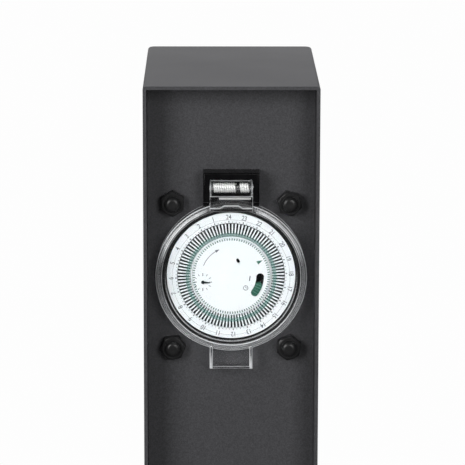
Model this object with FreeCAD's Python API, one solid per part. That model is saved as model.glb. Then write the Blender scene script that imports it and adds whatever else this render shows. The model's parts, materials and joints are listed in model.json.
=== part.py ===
# Garden control post: a folded sheet-steel post with a built-in 24-hour mechanical time switch
# behind a clear, spring-closed, hinged lid. Millimetres, +Z up, front towards -Y, origin at the
# bottom centre of the base plate.
import FreeCAD, Part
import math
import os

from FreeCAD import Vector

# ---- post ----
POST_WIDTH = 100.0
POST_DEPTH = 154.0
POST_TOP = 400.0
SHEET = 2.0
REAR_CORNER = 4.5
TOP_EDGE = 2.0
PLATE_GAP = 0.1
PLATE_RECESS = 20.0
FLANGE_DEPTH = 15.0
BASE_WIDTH = 150.0
BASE_DEPTH = 205.0
BASE_THICK = 4.0
BASE_CORNER = 8.0
ANCHOR_X = 62.5
ANCHOR_Y = 90.0
ANCHOR_RADIUS = 4.5
CABLE_ENTRY = 60.0
CABLE_ENTRY_CORNER = 8.0

# ---- rear service opening ----
SERVICE_HALF = 35.0
SERVICE_BOTTOM = 60.0
SERVICE_TOP = 260.0
COVER_LAP = 7.0
COVER_THICK = 1.5
COVER_GASKET = 0.8
COVER_SCREW_IN = 3.5
COVER_SCREW_RADIUS = 2.0

# ---- time switch: heights along the dial axis are distances in front of the post's middle plane ----
DIAL_Z = 287.8
PLATE_FACE = POST_DEPTH / 2 - PLATE_RECESS
PLATE_BACK = PLATE_FACE - SHEET
GASKET_THICK = 1.0
FRAME_THICK = 3.0
FRAME_BACK = PLATE_BACK - GASKET_THICK - FRAME_THICK
CUP_INNER = 37.7
CUP_OUTER = 39.6
CUP_FRONT = PLATE_FACE + 5.0
CUP_BACK = 12.0
CUP_FLOOR = 14.5
CUP_FLANGE_RADIUS = 44.5
CUP_FLANGE = 2.5
OPENING_RADIUS = 39.9
BOLT_X = 33.5
BOLT_HALF_HEIGHT = 42.5
BOLT_DROP = 0.8
STUD_RADIUS = 4.0
STUD_HOLE = 4.2
NUT_FLATS = 13.0
NUT_HEX_HEIGHT = 5.6
NUT_DOME_RADIUS = 4.7
NUT_TURNS = (0.0, 15.0, 38.0, 52.0)

# ---- lid and hinge ----
LID_OUTER = 43.4
LID_INNER = 41.4
LID_SEAL_OUTER = 43.0
LID_SEAL_INNER = 40.9
LID_BACK = PLATE_FACE + 1.1
LID_FRONT = PLATE_FACE + 11.0
LID_WINDOW = 1.8
LID_STEP_RADIUS = 39.9
LID_STEP = 0.6
LID_BEVEL_RADIUS = 40.4
LID_BEVEL = 1.0
HINGE_UP = 51.9
HINGE_OUT = PLATE_FACE + 7.5
KNUCKLE_RADIUS = 4.65
KNUCKLE_HALF = 12.3
KNUCKLE_WALL = 1.3
SPRING_ROOM = 3.4
PIN_RADIUS = 1.5
PIN_FREE = 0.05
BRACKET_HALF = 16.0
BRACKET_TOP = 61.2
BRACKET_DEPTH = 12.0
BRACKET_SLOT_HALF = 12.6
BRACKET_SLOT_TOP = 57.6
BRACKET_SCREW_UP = 54.2
EAR_RADIUS = 8.7
TAB_DROP = 53.4
TAB_RIB = 1.8

# ---- dial, as seen from the front; angles run clockwise from the top ----
DIAL_FACE = PLATE_FACE + 5.6
RING_OUTER = 36.9
RING_INNER = 30.9
RING_THICK = 1.6
SKIRT_WALL = 1.6
TAPPETS = 96
TAPPET_PITCH = 360.0 / TAPPETS
FIRST_TAPPET = 357.6
TAPPET_SHARE = 0.44
TAPPET_IN = 23.4
TAPPET_STEP = 24.8
TAPPET_OUT = 30.6
TAPPET_FACE = DIAL_FACE + 0.6
TAPPET_BACK = DIAL_FACE - 1.4
TAPPET_LIP = DIAL_FACE + 0.2
STEM_IN = 28.2
STEM_OUT = 30.2
STEM_WIDTH = 0.6
STEM_BACK = 54.0
SLOT_IN = 27.1
SLOT_OUT = 30.4
SLOT_WIDTH = 0.72
LOOSE_TAPPETS = {0: "tappet_24", 24: "tappet_18", 48: "tappet_12", 72: "tappet_06"}
GREEN_IN = 24.4
GREEN_OUT = 26.4
TICK_IN = 22.45
TICK_OUT = 23.6
TICK_FACE = TAPPET_LIP - 0.15
NOTCH_RADIUS = 0.42
FLOOR_FRONT = 57.4
FLOOR_BACK = 56.0
DISC_RADIUS = 22.3
DISC_FACE = DIAL_FACE + 0.8
DISC_THICK = 1.5
BOSS_OUTER = 18.95
BOSS_INNER = 17.7
HUB_BORE = 19.0

# ---- manual switch on the centre disc ----
SLIDE_RADIUS = 16.7
SLIDE_HALF_WIDTH = 2.2
SLIDE_FROM = 92.0
SLIDE_TO = 125.4
KNOB_FROM = 110.0
KNOB_FREE = 0.2

# ---- gears ----
DIAL_TEETH = 72
COARSE = 0.6
PINION_TEETH = 12
WHEEL_TEETH = 48
FINE = 0.4
HAND_RADIUS = 16.6
HAND_ANGLE = 257.8
HAND_SHAFT_FRONT = DISC_FACE + 0.65
SHAFT_RADIUS = 0.75
SHAFT_FREE = 0.05
HUB_BACK = 50.4
PINION_BACK = 50.6
PINION_FRONT = 53.6
WHEEL_BACK = 44.0
WHEEL_FRONT = 45.2

# ---- movement ----
FRONT_PLATE_BACK = 48.0
FRONT_PLATE_FRONT = 49.6
REAR_PLATE_BACK = 40.5
REAR_PLATE_FRONT = 42.0
MOVEMENT_RADIUS = 36.5
PILLAR_ANGLES = (30.0, 130.0, 215.0)
PILLAR_RADIUS = 2.0
PILLAR_REACH = 33.0
MOTOR_X = -8.0
MOTOR_Y = 8.0
MOTOR_RADIUS = 17.0
MOTOR_BACK = 20.5

# ---- switch lever and microswitch ----
NOSE_ANGLE = 61.0
PIVOT_ANGLE = 91.0
TAIL_ANGLE = 113.0
LEVER_RADIUS = 24.5
LEVER_IN = 23.6
LEVER_OUT = 25.4
LEVER_NOSE = 27.9
LEVER_BACK = 54.4
LEVER_FRONT = 55.6

# ---- glands and terminals ----
GLAND_X = 20.0
GLAND_Y = 10.0
SHELF_Z = 60.0
GLAND_BARREL = 10.0
GLAND_FLATS = 24.0
GLAND_SEAL_BORE = 5.0
RAIL_Z = 140.0
TERMINAL_WIDTH = 10.0

NODES = {}


def save(name, shape):
    NODES[name] = shape


def box(low, high):
    size = [b - a for a, b in zip(low, high)]
    return Part.makeBox(size[0], size[1], size[2], Vector(*low))


def rod(radius, start, end):
    direction = Vector(*end) - Vector(*start)
    return Part.makeCylinder(radius, direction.Length, Vector(*start), direction)


def disc(radius, back, front, at=(0.0, 0.0)):
    return Part.makeCylinder(radius, front - back, Vector(at[0], at[1], back))


def ring(outer, inner, back, front, at=(0.0, 0.0)):
    return disc(outer, back, front, at).cut(disc(inner, back, front, at))


def polar(radius, clock):
    """A point on the dial at a clockwise angle from the top."""
    turn = math.radians(clock)
    return (radius * math.sin(turn), radius * math.cos(turn))


def prism(points, back, front):
    corners = [Vector(x, y, back) for x, y in points]
    face = Part.Face(Part.makePolygon(corners + [corners[0]]))
    return face.extrude(Vector(0, 0, front - back))


def spun(outline):
    """A solid of revolution about the dial axis from (radius, height) points."""
    corners = [Vector(radius, 0, height) for radius, height in outline]
    face = Part.Face(Part.makePolygon(corners + [corners[0]]))
    return face.revolve(Vector(0, 0, 0), Vector(0, 0, 1), 360)


def at_clock(shape, clock):
    """Turns a shape that was drawn at the top of the dial clockwise to its place."""
    turned = shape.copy()
    turned.rotate(Vector(0, 0, 0), Vector(0, 0, 1), -clock)
    return turned


def on_dial(shape):
    """From the dial's own frame (x right, y up, z towards the user) to the post's frame."""
    placed = shape.copy()
    placed.rotate(Vector(0, 0, 0), Vector(1, 0, 0), 90)
    placed.translate(Vector(0, 0, DIAL_Z))
    return placed


def hexagon(flats, back, front, at=(0.0, 0.0), turn=0.0):
    reach = flats / 2 / math.cos(math.pi / 6)
    corners = []
    for index in range(6):
        angle = math.radians(60 * index + turn + 90)
        corners.append((at[0] + reach * math.cos(angle), at[1] + reach * math.sin(angle)))
    return prism(corners, back, front)


def rounded_plate(half_x, half_y, corner, back, front):
    plate = box((-half_x, -half_y, back), (half_x, half_y, front))
    upright = [edge for edge in plate.Edges if abs(edge.tangentAt(edge.FirstParameter).z) > 0.9]
    return plate.makeFillet(corner, upright)


def gear(teeth, module, back, front, turn, at=(0.0, 0.0)):
    """A spur gear with involute flanks and one tooth pointing along `turn`, in degrees from +x."""
    pitch = teeth * module / 2
    base = pitch * math.cos(math.radians(20))
    root = pitch - 1.2 * module
    tip = pitch + 0.8 * module

    def roll(radius):
        if radius <= base:
            return 0.0
        pressure = math.acos(base / radius)
        return math.tan(pressure) - pressure

    half = 0.42 * math.pi / teeth
    start = max(base, root)
    radii = [start, (start + tip) / 2, tip]
    if root < base:
        radii = [root] + radii
    corners = []
    for tooth in range(teeth):
        middle = math.radians(turn) + 2 * math.pi * tooth / teeth
        flank = [(radius, half + roll(pitch) - roll(radius)) for radius in radii]
        sides = [(radius, -angle) for radius, angle in flank] + list(reversed(flank))
        for radius, angle in sides:
            corners.append((at[0] + radius * math.cos(middle + angle),
                            at[1] + radius * math.sin(middle + angle)))
    return prism(corners, back, front)


def direction(start, end):
    return math.degrees(math.atan2(end[1] - start[1], end[0] - start[0]))


def mesh_turn(wheel_turn, wheel_teeth, towards, pinion_teeth):
    """The turn that puts a pinion in mesh with a wheel that lies at angle `towards` seen backwards."""
    step = 360.0 / wheel_teeth
    past = (wheel_turn - towards + step / 2) % step - step / 2
    return towards + 180 + 180.0 / pinion_teeth - past * wheel_teeth / pinion_teeth


# ---------------------------------------------------------------- gear centres

HAND = polar(HAND_RADIUS, HAND_ANGLE)
COARSE_REACH = (DIAL_TEETH + PINION_TEETH) * COARSE / 2
FINE_REACH = (WHEEL_TEETH + PINION_TEETH) * FINE / 2
SPREAD = math.degrees(math.acos((COARSE_REACH ** 2 + HAND_RADIUS ** 2 - FINE_REACH ** 2)
                                / (2 * COARSE_REACH * HAND_RADIUS)))
IDLER = polar(COARSE_REACH, HAND_ANGLE + SPREAD)
MOTOR_TURN = 53.0
MOTOR = (IDLER[0] + FINE_REACH * math.cos(math.radians(MOTOR_TURN)),
         IDLER[1] + FINE_REACH * math.sin(math.radians(MOTOR_TURN)))
DIAL_TOOTH = direction((0.0, 0.0), IDLER)
WHEEL_TOOTH = direction(IDLER, HAND)


# ---------------------------------------------------------------- post

def post_shell():
    half = POST_WIDTH / 2
    deep = POST_DEPTH / 2
    shell = box((-half, -deep, BASE_THICK), (half, deep, POST_TOP))
    rear = [e for e in shell.Edges if e.BoundBox.ZLength > 100 and e.BoundBox.YMin > deep - 1]
    shell = shell.makeFillet(REAR_CORNER, rear)
    top = [e for e in shell.Edges if e.BoundBox.ZMin > POST_TOP - 0.01 and e.BoundBox.YMax > -deep + 1]
    shell = shell.makeFillet(TOP_EDGE - 0.2, top)
    inner = box((-half + SHEET, -deep - 1, BASE_THICK - 1), (half - SHEET, deep - SHEET, POST_TOP - SHEET))
    corners = [e for e in inner.Edges if e.BoundBox.ZLength > 100 and e.BoundBox.YMin > 0]
    inner = inner.makeFillet(REAR_CORNER - SHEET, corners)
    shell = shell.cut(inner)
    service = box((-SERVICE_HALF, 0, SERVICE_BOTTOM), (SERVICE_HALF, deep + 1, SERVICE_TOP))
    shell = shell.cut(service)
    for x, z in cover_screw_places():
        shell = shell.cut(rod(COVER_SCREW_RADIUS, (x, deep - 5, z), (x, deep + 1, z)))
    for side in (-1, 1):
        for y in (-25, 25):
            hole = rod(2.5, (side * (half - 5), y, 15), (side * (half + 1), y, 15))
            shell = shell.cut(hole)
    return shell


def front_plate():
    """The recessed front, folded back at both sides and at the top."""
    half = POST_WIDTH / 2 - SHEET - PLATE_GAP
    top = POST_TOP - SHEET - PLATE_GAP
    low = BASE_THICK + PLATE_GAP
    plate = box((-half, -PLATE_FACE, low), (half, -PLATE_FACE + FLANGE_DEPTH, top))
    inside = box((-half + SHEET, -PLATE_BACK, low - 1),
                 (half - SHEET, -PLATE_BACK + FLANGE_DEPTH, top - SHEET))
    plate = plate.cut(inside)
    plate = plate.cut(on_dial(disc(OPENING_RADIUS, PLATE_BACK - 1, PLATE_FACE + 1)))
    for x, y in bolt_places():
        plate = plate.cut(on_dial(disc(STUD_HOLE, PLATE_BACK - 1, PLATE_FACE + 1, (x, y))))
    for x, y in bracket_screw_places():
        plate = plate.cut(on_dial(disc(1.6, PLATE_BACK - 1, PLATE_FACE + 1, (x, y))))
    return plate


def base_plate():
    plate = rounded_plate(BASE_WIDTH / 2, BASE_DEPTH / 2, BASE_CORNER, 0, BASE_THICK)
    entry = rounded_plate(CABLE_ENTRY / 2, CABLE_ENTRY / 2, CABLE_ENTRY_CORNER, -1, BASE_THICK + 1)
    plate = plate.cut(entry)
    for x in (-ANCHOR_X, ANCHOR_X):
        for y in (-ANCHOR_Y, ANCHOR_Y):
            plate = plate.cut(disc(ANCHOR_RADIUS, -1, BASE_THICK + 1, (x, y)))
    for x, y in base_screw_places():
        plate = plate.cut(disc(2.5, 0.8, BASE_THICK + 1, (x, y)))
    return plate


def base_screw_places():
    return [(x, y) for x in (-40, 40) for y in (-25, 25)]


def base_angles():
    """Two angles that tie the post's side walls to the base plate."""
    wall = POST_WIDTH / 2 - SHEET
    angles = []
    for side in (-1, 1):
        low = min(side * wall, side * 32.0)
        foot = box((low, -32, BASE_THICK), (low + wall - 32, 32, BASE_THICK + SHEET))
        inner = side * (wall - SHEET)
        leg_low = min(side * wall, inner)
        leg = box((leg_low, -32, BASE_THICK), (leg_low + SHEET, 32, 24))
        angle = foot.fuse(leg).removeSplitter()
        for y in (-25, 25):
            angle = angle.cut(disc(2.5, BASE_THICK - 1, BASE_THICK + 3, (side * 40, y)))
            angle = angle.cut(rod(2.5, (side * 40, y, 15), (side * 52, y, 15)))
        angles.append(angle)
    return Part.makeCompound(angles)


def base_screws():
    screws = []
    for x, y in base_screw_places():
        floor = BASE_THICK + SHEET
        screws.append(disc(2.5, 0.8, floor + 0.5, (x, y)).fuse(hexagon(8, floor, floor + 3.5, (x, y))))
    for side in (-1, 1):
        wall = POST_WIDTH / 2
        for y in (-25, 25):
            shank = rod(2.5, (side * (wall - 8), y, 15), (side * wall, y, 15))
            head = rod(4.6, (side * wall, y, 15), (side * (wall + 2.4), y, 15))
            rim = [e for e in head.Edges if abs(e.BoundBox.Center.x) > wall + 2]
            screws.append(shank.fuse(head.makeFillet(1.6, rim)))
    return Part.makeCompound(screws)


# ---------------------------------------------------------------- rear cover

def cover_screw_places():
    x = SERVICE_HALF + COVER_SCREW_IN
    low = SERVICE_BOTTOM - COVER_SCREW_IN
    high = SERVICE_TOP + COVER_SCREW_IN
    return [(side * x, z) for side in (-1, 1) for z in (low, high)]


def cover_blank(front, back):
    half = SERVICE_HALF + COVER_LAP
    return box((-half, front, SERVICE_BOTTOM - COVER_LAP), (half, back, SERVICE_TOP + COVER_LAP))


def rear_cover():
    front = POST_DEPTH / 2 + COVER_GASKET
    cover = cover_blank(front, front + COVER_THICK)
    for x, z in cover_screw_places():
        cover = cover.cut(rod(COVER_SCREW_RADIUS + 0.25, (x, front - 1, z), (x, front + 3, z)))
    return cover


def rear_cover_gasket():
    front = POST_DEPTH / 2
    seal = cover_blank(front, front + COVER_GASKET)
    seal = seal.cut(box((-SERVICE_HALF, front - 1, SERVICE_BOTTOM),
                        (SERVICE_HALF, front + 2, SERVICE_TOP)))
    for x, z in cover_screw_places():
        seal = seal.cut(rod(COVER_SCREW_RADIUS + 0.25, (x, front - 1, z), (x, front + 2, z)))
    return seal


def rear_cover_screws():
    face = POST_DEPTH / 2 + COVER_GASKET + COVER_THICK
    screws = []
    for x, z in cover_screw_places():
        shank = rod(COVER_SCREW_RADIUS, (x, face - 9, z), (x, face + 0.5, z))
        head = rod(3.8, (x, face, z), (x, face + 2.4, z))
        rim = [e for e in head.Edges if e.BoundBox.YMin > face + 2]
        head = head.makeFillet(1.2, rim)
        slot = box((x - 5, face + 1.4, z - 0.5), (x + 5, face + 3, z + 0.5))
        screws.append(shank.fuse(head).cut(slot))
    return Part.makeCompound(screws)


# ---------------------------------------------------------------- cable entry and terminals

def gland_places():
    return [(-GLAND_X, GLAND_Y), (GLAND_X, GLAND_Y)]


def gland_shelf():
    wall = POST_WIDTH / 2 - SHEET
    shelf = box((-wall, GLAND_Y - 30, SHELF_Z), (wall, GLAND_Y + 30, SHELF_Z + SHEET + 12))
    shelf = shelf.cut(box((-wall + SHEET, GLAND_Y - 31, SHELF_Z + SHEET),
                          (wall - SHEET, GLAND_Y + 31, SHELF_Z + 20)))
    for place in gland_places():
        shelf = shelf.cut(disc(GLAND_BARREL, SHELF_Z - 1, SHELF_Z + 5, place))
    return shelf


def gland_bodies():
    bodies = []
    for place in gland_places():
        body = hexagon(GLAND_FLATS, SHELF_Z - 8, SHELF_Z, place)
        body = body.fuse(disc(GLAND_BARREL, SHELF_Z - 8, SHELF_Z + 12, place))
        bodies.append(body.cut(disc(6.5, SHELF_Z - 9, SHELF_Z + 13, place)))
    return Part.makeCompound(bodies)


def gland_locknuts():
    nuts = []
    for place in gland_places():
        nut = hexagon(GLAND_FLATS, SHELF_Z + SHEET, SHELF_Z + SHEET + 4.5, place)
        nuts.append(nut.cut(disc(GLAND_BARREL, SHELF_Z, SHELF_Z + 10, place)))
    return Part.makeCompound(nuts)


def gland_caps():
    caps = []
    for place in gland_places():
        cap = disc(11.0, SHELF_Z - 22, SHELF_Z - 8, place)
        rim = [e for e in cap.Edges if e.BoundBox.ZMax < SHELF_Z - 21]
        cap = cap.makeFillet(3.0, rim)
        cap = cap.cut(disc(8.5, SHELF_Z - 20, SHELF_Z - 7, place))
        caps.append(cap.cut(disc(5.8, SHELF_Z - 23, SHELF_Z - 19, place)))
    return Part.makeCompound(caps)


def gland_seals():
    seals = [ring(8.5, GLAND_SEAL_BORE, SHELF_Z - 20, SHELF_Z - 8, p) for p in gland_places()]
    return Part.makeCompound(seals)


def terminal_rail():
    """A hat rail that spans the post between its side walls."""
    wall = POST_WIDTH / 2 - SHEET
    web = box((-wall, 10, RAIL_Z - 13.5), (wall, 11.2, RAIL_Z + 13.5))
    rail = web
    for side in (-1, 1):
        inner = RAIL_Z + side * 13.5
        flank = box((-wall, 10, min(inner, inner - side * 1.2)), (wall, 17.5, max(inner, inner - side * 1.2)))
        outer = RAIL_Z + side * 17.5
        low = min(inner - side * 1.2, outer)
        lip = box((-wall, 16.3, low), (wall, 17.5, low + 5.2))
        rail = rail.fuse(flank).fuse(lip)
    return rail.removeSplitter()


def terminal_centres():
    return [(index - 1) * TERMINAL_WIDTH for index in range(3)]


def terminal_blocks():
    blocks = []
    for x in terminal_centres():
        half = TERMINAL_WIDTH / 2
        outline = [(17.5, -25), (30, -25), (46, -14), (46, 14), (30, 25), (17.5, 25)]
        corners = [Vector(x - half, y, RAIL_Z + z) for y, z in outline]
        block = Part.Face(Part.makePolygon(corners + [corners[0]])).extrude(Vector(TERMINAL_WIDTH, 0, 0))
        for side in (-1, 1):
            z = RAIL_Z + side * 9
            block = block.cut(rod(2.6, (x, 36, z), (x, 47, z)))
            wire = RAIL_Z + side * 21
            block = block.cut(rod(2.2, (x, 26, wire - side * 10), (x, 26, wire + side * 6)))
        blocks.append(block)
    return Part.makeCompound(blocks)


def terminal_screws():
    screws = []
    for x in terminal_centres():
        for side in (-1, 1):
            z = RAIL_Z + side * 9
            screw = rod(2.4, (x, 36, z), (x, 42, z))
            screws.append(screw.cut(box((x - 3, 41, z - 0.4), (x + 3, 43, z + 0.4))))
    return Part.makeCompound(screws)


def earth_stud():
    """The brass earth stud on the right-hand side wall, with its washer and nut."""
    wall = POST_WIDTH / 2 - SHEET
    stud = rod(3.0, (wall - 18, 35, 100), (wall, 35, 100))
    washer = rod(6.0, (wall - 2, 35, 100), (wall, 35, 100))
    nut = hexagon(10, 0, 5)
    nut.rotate(Vector(0, 0, 0), Vector(0, 1, 0), 90)
    nut.translate(Vector(wall - 7, 35, 100))
    return stud.fuse(washer).fuse(nut).removeSplitter()


# ---------------------------------------------------------------- housing of the time switch

def bolt_places():
    return [(x, y - BOLT_DROP) for y in (BOLT_HALF_HEIGHT, -BOLT_HALF_HEIGHT) for x in (-BOLT_X, BOLT_X)]


def housing_screw_places():
    return [polar(42.2, clock) for clock in (45, 135, 225, 315)]


def timer_housing():
    """A deep cup with a clamping flange behind the front plate; its rim frames the dial."""
    outline = [(0, CUP_BACK), (CUP_OUTER, CUP_BACK), (CUP_OUTER, FRAME_BACK - CUP_FLANGE),
               (CUP_FLANGE_RADIUS, FRAME_BACK - CUP_FLANGE), (CUP_FLANGE_RADIUS, FRAME_BACK),
               (CUP_OUTER, FRAME_BACK), (CUP_OUTER, CUP_FRONT - 1), (CUP_OUTER - 1, CUP_FRONT),
               (CUP_INNER, CUP_FRONT), (CUP_INNER, CUP_FLOOR), (0, CUP_FLOOR)]
    cup = spun(outline)
    for place in housing_screw_places():
        cup = cup.cut(disc(1.5, FRAME_BACK - 5, FRAME_BACK + 1, place))
    return on_dial(cup)


def housing_screws():
    back = FRAME_BACK - CUP_FLANGE
    screws = []
    for place in housing_screw_places():
        screws.append(disc(1.5, back - 0.5, FRAME_BACK + 2.5, place).fuse(disc(2.3, back - 2, back, place)))
    return on_dial(Part.makeCompound(screws))


def frame_blank(back, front):
    plate = rounded_plate(42, 50, 6, back, front)
    plate.translate(Vector(0, -BOLT_DROP, 0))
    return plate


def mounting_frame():
    frame = frame_blank(FRAME_BACK, FRAME_BACK + FRAME_THICK)
    frame = frame.cut(disc(OPENING_RADIUS, FRAME_BACK - 1, FRAME_BACK + 5))
    for place in housing_screw_places():
        frame = frame.cut(disc(1.5, FRAME_BACK - 1, FRAME_BACK + 5, place))
    for place in bolt_places():
        frame = frame.cut(disc(STUD_RADIUS, FRAME_BACK - 1, FRAME_BACK + 5, place))
    return on_dial(frame)


def mounting_gasket():
    gasket = frame_blank(PLATE_BACK - GASKET_THICK, PLATE_BACK)
    gasket = gasket.cut(disc(OPENING_RADIUS, 0, 99))
    for place in bolt_places():
        gasket = gasket.cut(disc(STUD_HOLE, 0, 99, place))
    return on_dial(gasket)


def mounting_studs():
    return on_dial(Part.makeCompound([disc(STUD_RADIUS, FRAME_BACK, PLATE_FACE + 6.0, p)
                                      for p in bolt_places()]))


def dome_nuts():
    """Four black cap nuts, each tightened to its own angle."""
    nuts = []
    top = PLATE_FACE + NUT_HEX_HEIGHT
    for place, turn in zip(bolt_places(), NUT_TURNS):
        nut = hexagon(NUT_FLATS, PLATE_FACE, top, place, turn)
        cone = Part.makeCone(NUT_FLATS / 2 + 3.4, NUT_FLATS / 2 - 0.5, 2.4, Vector(0, 0, top - 2.4))
        column = disc(20, PLATE_FACE, top - 2.4).fuse(cone)
        column.translate(Vector(place[0], place[1], 0))
        nut = nut.common(column)
        dome = disc(NUT_DOME_RADIUS, top - 0.5, top + 3.0, place)
        rim = [e for e in dome.Edges if e.BoundBox.ZMin > top + 2]
        dome = dome.makeFillet(2.8, rim)
        nut = nut.fuse(dome).cut(disc(STUD_RADIUS, PLATE_FACE - 1, PLATE_FACE + 6.4, place))
        nuts.append(nut)
    return on_dial(Part.makeCompound(nuts))


def lid_seal():
    return on_dial(ring(LID_SEAL_OUTER, LID_SEAL_INNER, PLATE_FACE, LID_BACK - 0.15))


# ---------------------------------------------------------------- hinge and lid

def bracket_screw_places():
    return [(-10.0, BRACKET_SCREW_UP), (10.0, BRACKET_SCREW_UP)]


def hinge_rod(radius, half):
    """A rod on the hinge axis, in the dial's frame."""
    return rod(radius, (-half, HINGE_UP, HINGE_OUT), (half, HINGE_UP, HINGE_OUT))


def hinge_bracket():
    front = PLATE_FACE + BRACKET_DEPTH
    bracket = box((-BRACKET_HALF, 40, PLATE_FACE), (BRACKET_HALF, BRACKET_TOP, front))
    face = [e for e in bracket.Edges if e.BoundBox.ZMin > front - 0.01 and e.BoundBox.YMax > 41]
    bracket = bracket.makeFillet(1.0, face)
    slot = box((-BRACKET_SLOT_HALF, 30, PLATE_FACE + 1.5), (BRACKET_SLOT_HALF, BRACKET_SLOT_TOP, front + 1))
    bracket = bracket.cut(slot).cut(disc(LID_OUTER + 0.5, PLATE_FACE - 1, front + 1))
    swing = box((-BRACKET_HALF - 1, HINGE_UP - 20, HINGE_OUT), (BRACKET_HALF + 1, HINGE_UP, front + 1))
    bracket = bracket.cut(swing.cut(hinge_rod(EAR_RADIUS, BRACKET_HALF + 2)))
    bracket = bracket.cut(hinge_rod(PIN_RADIUS, BRACKET_HALF + 1))
    for place in bracket_screw_places():
        bracket = bracket.cut(disc(1.25, PLATE_FACE - 1, PLATE_FACE + 3, place))
    return on_dial(bracket)


def bracket_screws():
    screws = []
    for place in bracket_screw_places():
        screws.append(disc(1.25, PLATE_BACK - 1, PLATE_FACE + 1.4, place)
                      .fuse(disc(2.4, PLATE_BACK - 2, PLATE_BACK, place)))
    return on_dial(Part.makeCompound(screws))


def hinge_pin():
    return on_dial(hinge_rod(PIN_RADIUS, BRACKET_HALF))


def spring_block(left, right):
    coil = rod(2.9, (left, HINGE_UP, HINGE_OUT), (right, HINGE_UP, HINGE_OUT))
    return coil.cut(rod(1.8, (left - 1, HINGE_UP, HINGE_OUT), (right + 1, HINGE_UP, HINGE_OUT)))


def lid_spring():
    """Two coil packs round the pin, drawn as plain sleeves."""
    return on_dial(Part.makeCompound([spring_block(-10.8, 3.2), spring_block(4.4, 10.8)]))


def lid_spring_leg():
    """The spring's middle bar, which bears on the back of the lid's arm."""
    bar = rod(0.7, (-7.0, HINGE_UP - 6.2, LID_FRONT - 2.9), (11.2, HINGE_UP - 6.2, LID_FRONT - 2.9))
    return on_dial(bar)


def lid():
    """The clear lid: round window, hinge arm with a hollow knuckle, and a lift tab."""
    edge = LID_FRONT - LID_BEVEL
    outline = [(0, LID_BACK), (LID_OUTER, LID_BACK), (LID_OUTER, edge - 0.7),
               (LID_OUTER - 0.2, edge - 0.2), (LID_OUTER - 0.7, edge),
               (LID_BEVEL_RADIUS, LID_FRONT), (LID_STEP_RADIUS, LID_FRONT),
               (LID_STEP_RADIUS, LID_FRONT - LID_STEP), (0, LID_FRONT - LID_STEP)]
    cover = spun(outline)
    arm = box((-KNUCKLE_HALF, 38.5, LID_FRONT - 2.0), (KNUCKLE_HALF, HINGE_UP, LID_FRONT + 0.4))
    cover = cover.fuse(arm).fuse(hinge_rod(KNUCKLE_RADIUS, KNUCKLE_HALF))
    low = -TAB_DROP
    floor = PLATE_FACE + 5.0
    proud = LID_FRONT + 1.6
    cover = cover.fuse(box((-KNUCKLE_HALF, low, floor), (KNUCKLE_HALF, -40, floor + 1.6)))
    cover = cover.fuse(box((-KNUCKLE_HALF, low, floor), (KNUCKLE_HALF, low + 1.4, proud)))
    for side in (-1, 1):
        outer = side * KNUCKLE_HALF
        inner = side * (KNUCKLE_HALF - TAB_RIB)
        cover = cover.fuse(box((min(outer, inner), low, floor), (max(outer, inner), -40, proud)))
    inside = LID_FRONT - LID_STEP - LID_WINDOW
    cover = cover.cut(spun([(0, LID_BACK - 1), (LID_INNER, LID_BACK - 1),
                            (LID_INNER, inside - 1.2), (LID_INNER - 1.2, inside), (0, inside)]))
    cover = cover.cut(hinge_rod(SPRING_ROOM, KNUCKLE_HALF - KNUCKLE_WALL))
    cover = cover.cut(hinge_rod(PIN_RADIUS + PIN_FREE, KNUCKLE_HALF + 1))
    room = KNUCKLE_HALF - KNUCKLE_WALL
    cover = cover.cut(box((-room, HINGE_UP - 3.0, HINGE_OUT - 6), (room, HINGE_UP + 2.4, HINGE_OUT - 2)))
    return on_dial(cover.removeSplitter())


# ---------------------------------------------------------------- dial

def dial_ring():
    """The white 24-hour ring that carries the numbers."""
    return on_dial(ring(RING_OUTER, RING_INNER, DIAL_FACE - RING_THICK, DIAL_FACE))


def dial_carrier():
    """The dark body under the 24-hour ring: a skirt, a slotted floor and a geared hub."""
    skirt = ring(RING_OUTER, RING_OUTER - SKIRT_WALL, FLOOR_BACK, DIAL_FACE - RING_THICK)
    teeth = gear(DIAL_TEETH, COARSE, HUB_BACK, FLOOR_BACK, DIAL_TOOTH)
    floor = disc(RING_OUTER, FLOOR_BACK, FLOOR_FRONT)
    slots = []
    for index in range(TAPPETS):
        slot = box((-SLOT_WIDTH / 2, SLOT_IN, FLOOR_BACK - 1), (SLOT_WIDTH / 2, SLOT_OUT, FLOOR_FRONT + 1))
        slots.append(at_clock(slot, FIRST_TAPPET + index * TAPPET_PITCH))
    floor = floor.cut(Part.makeCompound(slots))
    body = floor.fuse(teeth).fuse(skirt)
    return on_dial(body.cut(disc(HUB_BORE, HUB_BACK - 1, FLOOR_FRONT + 1)))


def green_ring():
    return on_dial(ring(GREEN_OUT, GREEN_IN, FLOOR_FRONT, TAPPET_BACK - 0.25))


def tick_ring():
    """The notched ring between the centre disc and the tappets, which slide over it."""
    notches = []
    for index in range(TAPPETS):
        clock = FIRST_TAPPET + (index + 0.5) * TAPPET_PITCH
        notches.append(disc(NOTCH_RADIUS, FLOOR_FRONT + 1.6, TICK_FACE + 1, polar(TICK_OUT - 0.25, clock)))
    return on_dial(ring(TICK_OUT, TICK_IN, FLOOR_FRONT, TICK_FACE).cut(Part.makeCompound(notches)))


def tappet(index):
    """One switching segment: a blade on the dial's face and a stem through the floor."""
    half = TAPPET_SHARE * TAPPET_PITCH / 2
    corners = [polar(TAPPET_IN, -half), polar(TAPPET_OUT, -half), polar(TAPPET_OUT, half),
               polar(TAPPET_IN, half)]
    blade = prism(corners, TAPPET_BACK, TAPPET_FACE)
    blade = blade.cut(disc(TAPPET_STEP, TAPPET_BACK - 1, TAPPET_LIP))
    stem = box((-STEM_WIDTH / 2, STEM_IN, STEM_BACK), (STEM_WIDTH / 2, STEM_OUT, TAPPET_BACK))
    return on_dial(at_clock(blade.fuse(stem), FIRST_TAPPET + index * TAPPET_PITCH))


# ---------------------------------------------------------------- centre of the dial

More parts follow.
